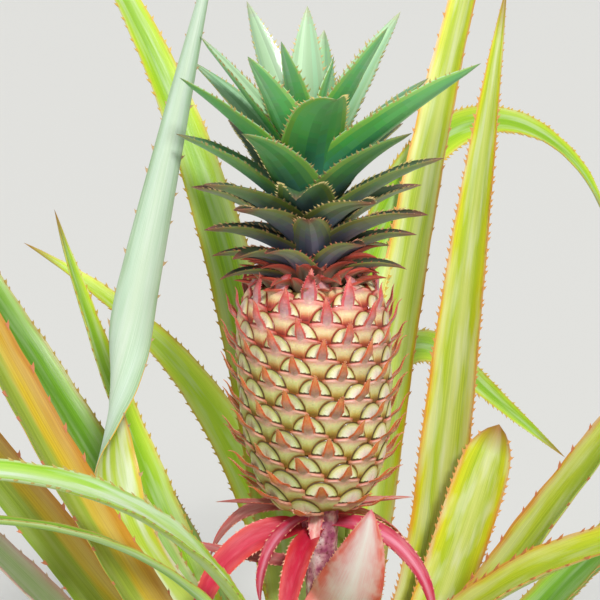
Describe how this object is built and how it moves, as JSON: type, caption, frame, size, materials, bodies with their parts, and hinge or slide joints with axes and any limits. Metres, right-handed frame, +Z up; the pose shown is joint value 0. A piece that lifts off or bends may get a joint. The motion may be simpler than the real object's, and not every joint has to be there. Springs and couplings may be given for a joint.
{
  "type": "pineapple plant",
  "caption": "Fruiting pineapple plant: a short stem with a rosette of long sword leaves, a fruit stalk with red bracts, and a fruit that carries its crown of leaves.",
  "frame": {"origin": "middle of the flat cut under the stem, at ground level", "axes": "+Z up along the stem, and the picture's viewer looks along +Y with +X to the right"},
  "size_m": [1.3057, 1.4067, 1.0088],
  "materials": {
    "stem": "fibrous green-brown stem ringed with leaf scars, matt",
    "leaf": "yellow-green leaf with a soft gloss, silvery underside and orange spined margins",
    "stalk": "mottled pink and purple stalk with a pale waxy bloom",
    "bract": "crimson to pink papery bract, satin, with a paler midrib",
    "fruit": "waxy pale yellow-green eyes with brown arcs and orange-red bract tips",
    "crown": "blue-green crown leaf with a silvery bloom, red-tinged tips and small spines"
  },
  "bodies": {
    "root": {"stem": "stem", "leaf_01": "leaf", "leaf_02": "leaf", "leaf_03": "leaf", "leaf_04": "leaf", "leaf_05": "leaf", "leaf_06": "leaf", "leaf_07": "leaf", "leaf_08": "leaf", "leaf_09": "leaf", "leaf_10": "leaf", "leaf_11": "leaf", "leaf_12": "leaf", "leaf_13": "leaf", "leaf_14": "leaf", "leaf_15": "leaf", "leaf_16": "leaf", "leaf_17": "leaf", "leaf_18": "leaf", "leaf_19": "leaf", "leaf_20": "leaf", "leaf_21": "leaf", "leaf_22": "leaf", "leaf_23": "leaf", "leaf_24": "leaf", "leaf_25": "leaf", "leaf_26": "leaf", "leaf_27": "leaf", "leaf_28": "leaf", "leaf_29": "leaf", "leaf_30": "leaf", "leaf_31": "leaf", "leaf_32": "leaf", "leaf_33": "leaf", "leaf_34": "leaf", "fruit_stalk": "stalk", "bract_01": "bract", "bract_02": "bract", "bract_03": "bract", "bract_04": "bract", "bract_05": "bract", "bract_06": "bract", "bract_07": "bract", "bract_08": "bract", "bract_09": "bract", "bract_10": "bract", "bract_11": "bract", "bract_12": "bract", "bract_13": "bract", "bract_14": "bract", "fruit": "fruit", "crown": "crown"}
  },
  "joints": []
}
